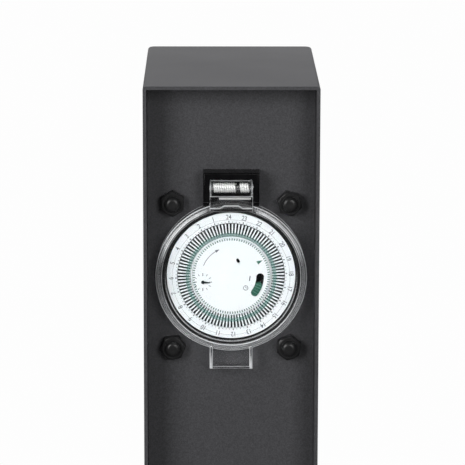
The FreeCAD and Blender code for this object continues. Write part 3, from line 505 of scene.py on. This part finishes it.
MATERIALS = {
    "powder_coat": powder_coat(),
    "zinc_steel": plated("zinc_steel", (0.60, 0.61, 0.62), 0.34, stretch=(1.0, 1.0, 0.15)),
    "spring_steel": plated("spring_steel", (0.78, 0.78, 0.77), 0.20),
    "brass": plated("brass", (0.78, 0.60, 0.30), 0.28),
    "black_plastic": moulded("black_plastic", (0.006, 0.006, 0.0065), 0.5, gloss=0.25),
    "grey_plastic": moulded("grey_plastic", (0.34, 0.35, 0.36), 0.45),
    "white_plastic": white_moulded("white_plastic", (0.84, 0.88, 0.895)),
    "tappet_white": tappet_white(),
    "green_plastic": moulded("green_plastic", (0.020, 0.120, 0.080), 0.45, gloss=0.3),
    "dark_plastic": moulded("dark_plastic", (0.008, 0.017, 0.020), 0.6, gloss=0.15),
    "clear_lid": clear_plastic(),
    "rubber": rubber(),
    "gear_plastic": moulded("gear_plastic", (0.82, 0.80, 0.72), 0.38),
    "print_ink": ink("print_ink", (0.11, 0.12, 0.14)),
    "spring_wire": plated("spring_wire", (0.95, 0.95, 0.93), 0.44, metallic=0.35),
    "leg_wire": plated("leg_wire", (0.62, 0.62, 0.61), 0.40, metallic=0.5),
    "bracket_black": moulded("bracket_black", (0.0035, 0.0035, 0.004), 0.30, gloss=0.18),
    "nut_black": moulded("nut_black", (0.015, 0.015, 0.0155), 0.34, gloss=0.42),
    "ring_green": moulded("ring_green", (0.012, 0.060, 0.048), 0.45, gloss=0.3),
    "grip_green": ribbed_green(),
    "green_film": film("green_film", (0.10, 0.29, 0.25), 0.34),
    # a fine line of painted shade on the lid's window
    "shade_line_film": film("shade_line_film", (0.30, 0.33, 0.34), 0.22),
    "number_ink": ink("number_ink", (0.10, 0.115, 0.125)),
    "scale_ink": ink("scale_ink", (0.035, 0.115, 0.095)),
    "green_ink": ink("green_ink", (0.02, 0.14, 0.095)),
}

# nodes whose finish differs from the plain material of their slot
FINISHES = {"hinge_bracket": "bracket_black", "green_ring": "ring_green", "lid_spring_leg": "leg_wire",
            "dome_nuts": "nut_black", "override_slider": "grip_green"}
SLOT_OF = {entry["node"]: entry["material_slot"] for entry in frame["record"]["subparts"]}
for name, node in NODES.items():
    node.data.materials.clear()
    node.data.materials.append(MATERIALS[FINISHES.get(name, SLOT_OF[name])])


# ---------------------------------------------------------------- rounded edges on the CAD nodes

def soften(node, width):
    """Rounds a CAD node's sharp edges for the eye, with modifiers only."""
    thing = NODES[node]
    weld = thing.modifiers.new("weld", "WELD")
    weld.merge_threshold = 0.002 * MM
    flat = thing.modifiers.new("flat", "DECIMATE")
    flat.decimate_type = "DISSOLVE"
    flat.angle_limit = math.radians(1.0)
    bevel = thing.modifiers.new("edges", "BEVEL")
    bevel.width = width
    bevel.segments = 2
    bevel.limit_method = "ANGLE"
    bevel.angle_limit = math.radians(32.0)
    bevel.harden_normals = True


for node, width in (("post_shell", 0.35 * MM), ("front_plate", 0.3 * MM), ("rear_cover", 0.3 * MM),
                    ("base_plate", 0.4 * MM), ("dome_nuts", 0.25 * MM), ("hinge_bracket", 0.3 * MM),
                    ("timer_housing", 0.2 * MM), ("dial_ring", 0.12 * MM), ("centre_disc", 0.1 * MM)):
    soften(node, width)


# ---------------------------------------------------------------- mesh helpers

def piece(name, mesh_or_bmesh, body, slot, material=None):
    """A new visual piece that rides on a body and takes its finish from a slot."""
    if isinstance(mesh_or_bmesh, bmesh.types.BMesh):
        mesh = bpy.data.meshes.new(name)
        bmesh.ops.recalc_face_normals(mesh_or_bmesh, faces=mesh_or_bmesh.faces)
        mesh_or_bmesh.to_mesh(mesh)
        mesh_or_bmesh.free()
    else:
        mesh = mesh_or_bmesh
    thing = bpy.data.objects.new(name, mesh)
    bpy.context.scene.collection.objects.link(thing)
    mesh.materials.clear()
    mesh.materials.append(MATERIALS[material or slot])
    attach(thing, body)
    return thing


def onto_dial(point, face, lift=0.0):
    """From the dial's own x, y to the frame, `lift` in front of a face at depth `face`."""
    return Vector((DIAL.x + point[0], face - lift, DIAL.z + point[1]))


PRINT_THICK = 0.03 * MM
PRINT_GAP = 0.002 * MM


def raise_outline(bm, outline, face, thick=PRINT_THICK):
    """Adds a closed outline on the dial as a thin raised slab in front of `face`."""
    front = [bm.verts.new(onto_dial(point, face, thick)) for point in outline]
    back = [bm.verts.new(onto_dial(point, face, PRINT_GAP)) for point in outline]
    bm.faces.new(front)
    bm.faces.new(list(reversed(back)))
    count = len(outline)
    for i in range(count):
        j = (i + 1) % count
        bm.faces.new((front[i], back[i], back[j], front[j]))


def bar_outline(inner, outer, clock, width):
    """A radial bar between two radii."""
    axis = polar(1.0, clock)
    side = Vector((axis.y, -axis.x)) * width / 2
    return [axis * inner - side, axis * outer - side, axis * outer + side, axis * inner + side]


def arc_outline(inner, outer, start, end, steps=40):
    """A curved bar between two radii and two angles."""
    turns = [start + (end - start) * i / steps for i in range(steps + 1)]
    return [polar(outer, t) for t in turns] + [polar(inner, t) for t in reversed(turns)]


# ---------------------------------------------------------------- print on the dial

DIGIT_RADIUS = 34.35 * MM
DIGIT_SIZE = 3.9 * MM
DIGIT_SPACING = 0.92
DIGIT_NARROW = 0.84
DIGIT_BOLD = 0.028 * MM


def digits():
    """The hours 1 to 24, upright towards the rim, counting anticlockwise."""
    joined = bmesh.new()
    for hour in range(1, HOURS + 1):
        clock = MIDNIGHT - hour * HOUR_STEP
        text = bpy.data.curves.new("digits", "FONT")
        text.body = str(hour)
        text.size = DIGIT_SIZE
        text.align_x = "CENTER"
        text.align_y = "CENTER"
        text.space_character = DIGIT_SPACING
        text.offset = DIGIT_BOLD
        text.extrude = PRINT_THICK / 2
        text.resolution_u = 4
        holder = bpy.data.objects.new("digits", text)
        bpy.context.scene.collection.objects.link(holder)
        bpy.context.view_layer.update()
        mesh = bpy.data.meshes.new_from_object(holder)
        bpy.data.objects.remove(holder)
        middle = polar(DIGIT_RADIUS, clock)
        place = Matrix.Translation(onto_dial(middle, RING_FACE, PRINT_THICK / 2 + PRINT_GAP))
        upright = Matrix.Rotation(math.radians(90), 4, "X")
        turn = Matrix.Rotation(math.radians(clock), 4, "Y")
        mesh.transform(place @ turn @ upright @ Matrix.Diagonal((DIGIT_NARROW, 1.0, 1.0, 1.0)))
        joined.from_mesh(mesh)
        bpy.data.meshes.remove(mesh)
    piece("hour_numbers", joined, "dial", "print_ink", "number_ink")


def ring_ticks():
    """A short mark outside every segment, and a longer one at every hour."""
    bm = bmesh.new()
    for index in range(SEGMENTS):
        clock = MIDNIGHT + index * SEGMENT_STEP
        hour = index % 4 == 0
        outer = 32.2 * MM if hour else 31.8 * MM
        width = 0.62 * MM if hour else 0.32 * MM
        raise_outline(bm, bar_outline(31.2 * MM, outer, clock, width), RING_FACE)
    piece("hour_ticks", bm, "dial", "print_ink")


def ring_outline(bm, centre, radius, width, face, steps=32):
    """A thin printed circle, as short bars that overlap at their ends."""
    for index in range(steps):
        first = 360.0 * index / steps
        arc = arc_outline(radius - width / 2, radius + width / 2, first, first + 360.0 / steps, steps=2)
        raise_outline(bm, [centre + corner for corner in arc], face)


ARROW_INNER = 16.8 * MM
ARROW_OUTER = 17.15 * MM
ARROW_MIDDLE = 17.0 * MM
ARROW_HALF = 0.85 * MM
SMALL_DIAL_RADIUS = 5.3 * MM


def centre_marks():
    """Curved arrow, small clock ring, the I mark and the clock mark of the manual switch."""
    bm = bmesh.new()
    raise_outline(bm, arc_outline(ARROW_INNER, ARROW_OUTER, 291.0, 330.0), DISC_FACE)
    tip = polar(ARROW_MIDDLE, 337.0)
    tail = polar(ARROW_MIDDLE, 328.5)
    side = (tip - tail).normalized()
    across = Vector((side.y, -side.x)) * ARROW_HALF
    raise_outline(bm, [tip, tail + across, tail - across], DISC_FACE)
    hub = Vector((HAND_SHAFT.middle.x - DIAL.x, HAND_SHAFT.middle.z - DIAL.z))
    for index in range(12):
        quarter = index % 3 == 0
        inner = 3.5 * MM if quarter else 4.0 * MM
        width = 0.46 * MM if quarter else 0.34 * MM
        bar = bar_outline(inner, SMALL_DIAL_RADIUS, index * 30.0, width)
        raise_outline(bm, [hub + corner for corner in bar], DISC_FACE)
    on_mark = polar(10.8 * MM, 97.5)
    bar = bar_outline(-1.5 * MM, 1.5 * MM, 8.0, 0.62 * MM)
    raise_outline(bm, [on_mark + corner for corner in bar], DISC_FACE)
    clock_mark = polar(10.9 * MM, 129.7)
    ring_outline(bm, clock_mark, 1.3 * MM, 0.36 * MM, DISC_FACE)
    for turn in (0.0, 90.0):
        hand = bar_outline(0.0, 0.85 * MM, turn, 0.32 * MM)
        raise_outline(bm, [clock_mark + corner for corner in hand], DISC_FACE)
    piece("centre_print", bm, "post", "print_ink")


def quarter_scale():
    """A fine dash for every quarter hour along the centre disc's edge."""
    bm = bmesh.new()
    for index in range(SEGMENTS):
        clock = MIDNIGHT + index * SEGMENT_STEP
        raise_outline(bm, bar_outline(20.9 * MM, 22.2 * MM, clock, 0.56 * MM), DISC_FACE)
    piece("quarter_scale", bm, "post", "print_ink", "scale_ink")


POINTER_CLOCK = 62.6
POINTER_HALF = 1.15 * MM


def pointer():
    """The green triangle that the time is read at."""
    bm = bmesh.new()
    tip = polar(20.3 * MM, POINTER_CLOCK)
    base = polar(16.9 * MM, POINTER_CLOCK)
    across = polar(POINTER_HALF, POINTER_CLOCK + 90.0)
    raise_outline(bm, [tip, base + across, base - across], DISC_FACE, 0.05 * MM)
    piece("now_pointer", bm, "post", "green_plastic", "green_ink")


# ---------------------------------------------------------------- lid spring, as wound wire

WIRE_RADIUS = 0.60 * MM
WIRE_PITCH = 1.26 * MM
COIL_POINTS = 24
SPRING_GAP = (3.2 * MM, 4.4 * MM)


def sweep(bm, path, radius, sides=10):
    """A round wire along a path of points, closed at both ends."""
    rings = []
    for i, point in enumerate(path):
        ahead = path[min(i + 1, len(path) - 1)] - path[max(i - 1, 0)]
        ahead.normalize()
        across = ahead.cross(Vector((0.0, 0.0, 1.0)))
        if across.length < 0.1:
            across = ahead.cross(Vector((0.0, 1.0, 0.0)))
        across.normalize()
        up = across.cross(ahead)
        turns = [2 * math.pi * k / sides for k in range(sides)]
        spots = [point + (across * math.cos(turn) + up * math.sin(turn)) * radius for turn in turns]
        rings.append([bm.verts.new(spot) for spot in spots])
    for first, second in zip(rings, rings[1:]):
        for k in range(sides):
            j = (k + 1) % sides
            bm.faces.new((first[k], first[j], second[j], second[k]))
    bm.faces.new(list(reversed(rings[0])))
    bm.faces.new(rings[-1])


def coil_path(start, end, radius, pitch):
    """Points along a coil round the hinge axis."""
    turns = (end - start) / pitch
    steps = int(turns * COIL_POINTS)
    points = []
    for i in range(steps + 1):
        angle = 2 * math.pi * turns * i / steps
        points.append(Vector((start + (end - start) * i / steps,
                              SPRING.middle.y + radius * math.cos(angle),
                              SPRING.middle.z + radius * math.sin(angle))))
    return points


def lid_spring():
    """Two packs of closely wound turns round the pin."""
    radius = SPRING.size.z / 2 - WIRE_RADIUS
    bm = bmesh.new()
    for start, end in ((SPRING.low.x, SPRING_GAP[0]), (SPRING_GAP[1], SPRING.high.x)):
        sweep(bm, coil_path(start + WIRE_RADIUS, end - WIRE_RADIUS, radius, WIRE_PITCH), WIRE_RADIUS)
    coils = piece("lid_spring_coils", bm, "post", "spring_steel", "spring_wire")
    coils.data.shade_smooth()
    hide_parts("lid_spring")


# ---------------------------------------------------------------- clear lid

def lathe(outline, steps=360):
    """A solid of revolution about the dial's axis, from (radius, height) points that start and end on it."""
    bm = bmesh.new()
    rings = []
    for radius, height in outline:
        if radius < 0.001 * MM:
            rings.append([bm.verts.new(onto_dial((0.0, 0.0), -height))])
            continue
        spots = [polar(radius, 360.0 * k / steps) for k in range(steps)]
        rings.append([bm.verts.new(onto_dial(spot, -height)) for spot in spots])
    for first, second in zip(rings, rings[1:]):
        for k in range(steps):
            j = (k + 1) % steps
            corners = [first[k % len(first)], first[j % len(first)], second[j % len(second)],
                       second[k % len(second)]]
            corners = list(dict.fromkeys(corners))
            bm.faces.new(corners)
    bmesh.ops.recalc_face_normals(bm, faces=bm.faces)
    return bm


def block(low, high, round_edges=0.0):
    """A box from dial coordinates (x, y, height)."""
    bm = bmesh.new()
    bmesh.ops.create_cube(bm, size=1.0)
    middle = [(a + b) / 2 for a, b in zip(low, high)]
    size = [b - a for a, b in zip(low, high)]
    for vert in bm.verts:
        x, y, height = (m + c * s for m, c, s in zip(middle, vert.co, size))
        vert.co = onto_dial((x, y), -height)
    if round_edges:
        bmesh.ops.bevel(bm, geom=bm.edges[:], offset=round_edges, segments=3, affect="EDGES", profile=0.5)
    bmesh.ops.recalc_face_normals(bm, faces=bm.faces)
    return bm


def hinge_rod(radius, half, round_edges=0.0, sides=64):
    """A cylinder on the hinge axis."""
    bm = bmesh.new()
    bmesh.ops.create_cone(bm, cap_ends=True, segments=sides, radius1=radius, radius2=radius, depth=2 * half)
    turn = Matrix.Rotation(math.radians(90), 4, "Y")
    bmesh.ops.transform(bm, matrix=Matrix.Translation(PIN.middle) @ turn, verts=bm.verts)
    if round_edges:
        ends = [e for e in bm.edges if abs(e.verts[0].co.x - e.verts[1].co.x) < 0.01 * MM]
        bmesh.ops.bevel(bm, geom=ends, offset=round_edges, segments=3, affect="EDGES", profile=0.5)
    bmesh.ops.recalc_face_normals(bm, faces=bm.faces)
    return bm


def carve(base, steps):
    """Adds to and cuts from a mesh in turn; returns the finished mesh."""
    scene = bpy.context.scene.collection.objects
    made = []

    def holder(bm):
        mesh = bpy.data.meshes.new("work")
        bm.to_mesh(mesh)
        bm.free()
        thing = bpy.data.objects.new("work", mesh)
        scene.link(thing)
        made.append(thing)
        return thing

    body = holder(base)
    for operation, tool in steps:
        join = body.modifiers.new("join", "BOOLEAN")
        join.operation = operation
        join.solver = "EXACT"
        join.object = holder(tool)
    bpy.context.view_layer.update()
    mesh = bpy.data.meshes.new_from_object(body.evaluated_get(bpy.context.evaluated_depsgraph_get()))
    for thing in made:
        bpy.data.objects.remove(thing)
    return mesh


def cover_outline():
    """The lid's outer section: window, raised bevelled rim with a rounded edge, and open back."""
    window = LID_FRONT - RIM_DEEP
    outline = [(0.0, window), (RIM_STEP - 0.3 * MM, window), (RIM_STEP, window + 0.3 * MM)]
    outline += [(RIM_STEP, LID_FRONT - 0.2 * MM), (RIM_STEP + 0.2 * MM, LID_FRONT), (RIM_BEVEL, LID_FRONT)]
    slope = math.atan(RIM_SLOPE / (LID_RADIUS - RIM_ROUND - RIM_BEVEL))
    last = LID_RADIUS - RIM_ROUND * (1.0 - math.sin(slope))
    fall = (last - RIM_BEVEL) * math.tan(slope)
    outline += [(last - 0.2 * MM, LID_FRONT - fall + 0.2 * MM * math.tan(slope))]
    centre = (LID_RADIUS - RIM_ROUND, LID_FRONT - fall - RIM_ROUND * math.cos(slope))
    for i in range(11):
        turn = slope + (math.pi / 2 - slope) * i / 10
        outline.append((centre[0] + RIM_ROUND * math.sin(turn), centre[1] + RIM_ROUND * math.cos(turn)))
    return outline + [(LID_RADIUS, LID_BACK + 0.25 * MM), (LID_RADIUS - 0.25 * MM, LID_BACK), (0.0, LID_BACK)]


def cavity_outline():
    """The section of the room inside the lid."""
    inner = LID_RADIUS - LID_WALL
    inside = LID_FRONT - RIM_DEEP - WINDOW_THICK
    outline = [(0.0, inside), (inner - 1.2 * MM, inside), (inner, inside - 1.2 * MM)]
    return outline + [(inner, LID_BACK - 1.0 * MM), (0.0, LID_BACK - 1.0 * MM)]


def tab_steps():
    """The lift tab: a floor, a lower lip and two side ribs."""
    floor_low = (-ARM_HALF + 0.002 * MM, TAB_LOW, TAB_FLOOR)
    floor_high = (ARM_HALF - 0.002 * MM, TAB_TOP, TAB_FLOOR + 1.6 * MM)
    lip_low = (-ARM_HALF + 0.003 * MM, TAB_LOW + 0.001 * MM, TAB_FLOOR)
    lip_high = (ARM_HALF - 0.003 * MM, TAB_LOW + 1.4 * MM, LID_PROUD)
    steps = [("UNION", block(floor_low, floor_high)), ("UNION", block(lip_low, lip_high, 0.3 * MM))]
    for side in (-1, 1):
        left, right = sorted((side * ARM_HALF, side * (ARM_HALF - TAB_RIB)))
        rib = block((left, TAB_LOW, TAB_FLOOR), (right, TAB_TOP, LID_PROUD), 0.8 * MM)
        steps.append(("UNION", rib))
    return steps


def lid():
    """The moulded clear lid: rounded rim and window, hinge arm with a hollow knuckle, and a ribbed tab."""
    room = ARM_HALF - 1.3 * MM
    arm = block((-ARM_HALF, 38.5 * MM, LID_FRONT - 2.0 * MM),
                (ARM_HALF, HINGE_UP, LID_FRONT + 0.4 * MM), 0.5 * MM)
    steps = [("UNION", arm), ("UNION", hinge_rod(KNUCKLE_RADIUS, ARM_HALF - 0.001 * MM, 0.4 * MM))]
    steps += tab_steps()
    steps += [
        ("DIFFERENCE", lathe(cavity_outline())),
        ("DIFFERENCE", hinge_rod(3.4 * MM, room)),
        ("DIFFERENCE", hinge_rod(1.55 * MM, ARM_HALF + 1.0 * MM, sides=32)),
        ("DIFFERENCE", block((-room, HINGE_UP - 3.0 * MM, HINGE_OUT - 6.0 * MM),
                             (room, HINGE_UP + 2.4 * MM, HINGE_OUT - 2.0 * MM))),
    ]
    mesh = carve(lathe(cover_outline()), steps)
    mesh.shade_smooth()
    mesh.set_sharp_from_angle(angle=math.radians(14.0))
    thing = piece("clear_cover", mesh, "lid_body", "clear_lid")
    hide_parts("lid")


PRINT_STEPS = 240


def printed_ring(name, inner, outer, slot, finish):
    """A thin ring drawn on the front of the lid's window."""
    face = -(LID_FRONT - RIM_DEEP)
    bm = bmesh.new()
    rows = []
    for radius, lift in ((inner, PRINT_GAP), (inner, PRINT_THICK), (outer, PRINT_THICK), (outer, PRINT_GAP)):
        spots = [polar(radius, 360.0 * k / PRINT_STEPS) for k in range(PRINT_STEPS)]
        rows.append([bm.verts.new(onto_dial(spot, face, lift)) for spot in spots])
    for first, second in zip(rows, rows[1:] + rows[:1]):
        for k in range(PRINT_STEPS):
            j = (k + 1) % PRINT_STEPS
            bm.faces.new((first[k], first[j], second[j], second[k]))
    piece(name, bm, "lid_body", slot, finish)


def window_print():
    """The translucent green ring, and a fine grey line on the window as painted shade."""
    printed_ring("window_ring", 23.9 * MM, 26.05 * MM, "green_plastic", "green_film")
    # a fine line of painted shade
    printed_ring("window_shade_line", 33.62 * MM, 33.80 * MM, "print_ink", "shade_line_film")


digits()
ring_ticks()
lid_spring()
lid()
window_print()
centre_marks()
quarter_scale()
pointer()


# ---------------------------------------------------------------- floor, light and camera

def floor():
    """A pale floor: white to the camera, grey to scattered light and dark to mirrored light."""
    bpy.ops.mesh.primitive_plane_add(size=14.0, location=(0.0, 2.0, 0.0))
    ground = bpy.context.object
    ground.name = "floor"
    skin = Surface("floor", (0.30, 0.30, 0.30), 0.8)
    skin.paint(skin.mix_color(skin.light_path("Is Glossy Ray"), skin.color, (0.02, 0.02, 0.02)))
    paper = skin.add("ShaderNodeEmission")
    paper.inputs["Color"].default_value = (1.0, 1.0, 1.0, 1.0)
    paper.inputs["Strength"].default_value = 0.985
    to_camera = skin.light_path("Is Camera Ray")
    skin.show(skin.blend(to_camera, skin.shader.outputs["BSDF"], paper.outputs["Emission"]))
    ground.data.materials.append(skin.material)


def lamp(name, size, power, place, aim):
    """A white rectangular area light that points from `place` to `aim`."""
    light = bpy.data.lights.new(name, "AREA")
    light.shape = "RECTANGLE"
    light.size = size[0]
    light.size_y = size[1]
    light.energy = power
    holder = bpy.data.objects.new(name, light)
    holder.location = place
    holder.rotation_euler = (Vector(aim) - Vector(place)).to_track_quat("-Z", "Y").to_euler()
    bpy.context.scene.collection.objects.link(holder)


def soft_box(name, size, power, azimuth, elevation, reach):
    """A lamp in front of the dial: azimuth to the right, elevation above it, in degrees."""
    aim = Vector((0.0, SHELL.low.y, DIAL.z))
    side, rise = math.radians(azimuth), math.radians(elevation)
    way = Vector((math.sin(side) * math.cos(rise), -math.cos(side) * math.cos(rise), math.sin(rise)))
    lamp(name, size, power, aim + way * reach, aim)


def studio():
    """White surroundings for the camera, dimmer ones in front for the light, and three soft boxes."""
    world = bpy.data.worlds.new("studio")
    world.use_nodes = True
    tree = world.node_tree
    background = tree.nodes["Background"]
    background.inputs["Color"].default_value = (1.0, 1.0, 1.0, 1.0)
    path = tree.nodes.new("ShaderNodeLightPath")
    ray = tree.nodes.new("ShaderNodeTexCoord")
    split = tree.nodes.new("ShaderNodeSeparateXYZ")
    dome = tree.nodes.new("ShaderNodeMapRange")
    for name, number in (("From Min", -0.40), ("From Max", 0.10), ("To Min", 0.04), ("To Max", 0.75)):
        dome.inputs[name].default_value = number
    strength = tree.nodes.new("ShaderNodeMapRange")
    strength.inputs["To Max"].default_value = 1.0
    tree.links.new(ray.outputs["Generated"], split.inputs["Vector"])
    tree.links.new(split.outputs["Y"], dome.inputs["Value"])
    tree.links.new(dome.outputs["Result"], strength.inputs["To Min"])
    tree.links.new(path.outputs["Is Camera Ray"], strength.inputs["Value"])
    tree.links.new(strength.outputs["Result"], background.inputs["Strength"])
    bpy.context.scene.world = world
    soft_box("left_soft", (0.95, 1.1), 23.0, -40.0, 19.0, 2.0)
    soft_box("right_soft", (0.9, 1.1), 17.0, 25.0, 19.0, 2.3)
    top = SHELL.high.z
    lamp("top_soft", (0.9, 0.6), 4.2, (0.0, 0.35, top + 1.0), (0.0, 0.0, top))


FOCAL_LENGTH = 223.7
SENSOR_WIDTH = 36.0
CAMERA_PITCH = 12.18
CAMERA_YAW = -0.463
CAMERA_ROLL = 0.1


def camera():
    """A long lens in front of the post, a little above it and looking down."""
    lens = bpy.data.cameras.new("camera")
    lens.lens = FOCAL_LENGTH
    lens.sensor_width = SENSOR_WIDTH
    lens.clip_start = 0.05
    holder = bpy.data.objects.new("camera", lens)
    holder.location = (-12.3 * MM, SHELL.low.y - 1.602, SHELL.high.z + 0.262)
    pitch = Matrix.Rotation(math.radians(90.0 - CAMERA_PITCH), 4, "X")
    yaw = Matrix.Rotation(math.radians(CAMERA_YAW), 4, "Z")
    roll = Matrix.Rotation(math.radians(CAMERA_ROLL), 4, "Z")
    holder.rotation_euler = (yaw @ pitch @ roll).to_euler()
    bpy.context.scene.collection.objects.link(holder)
    bpy.context.scene.camera = holder


floor()
studio()
camera()
bpy.context.scene.view_settings.view_transform = "Standard"
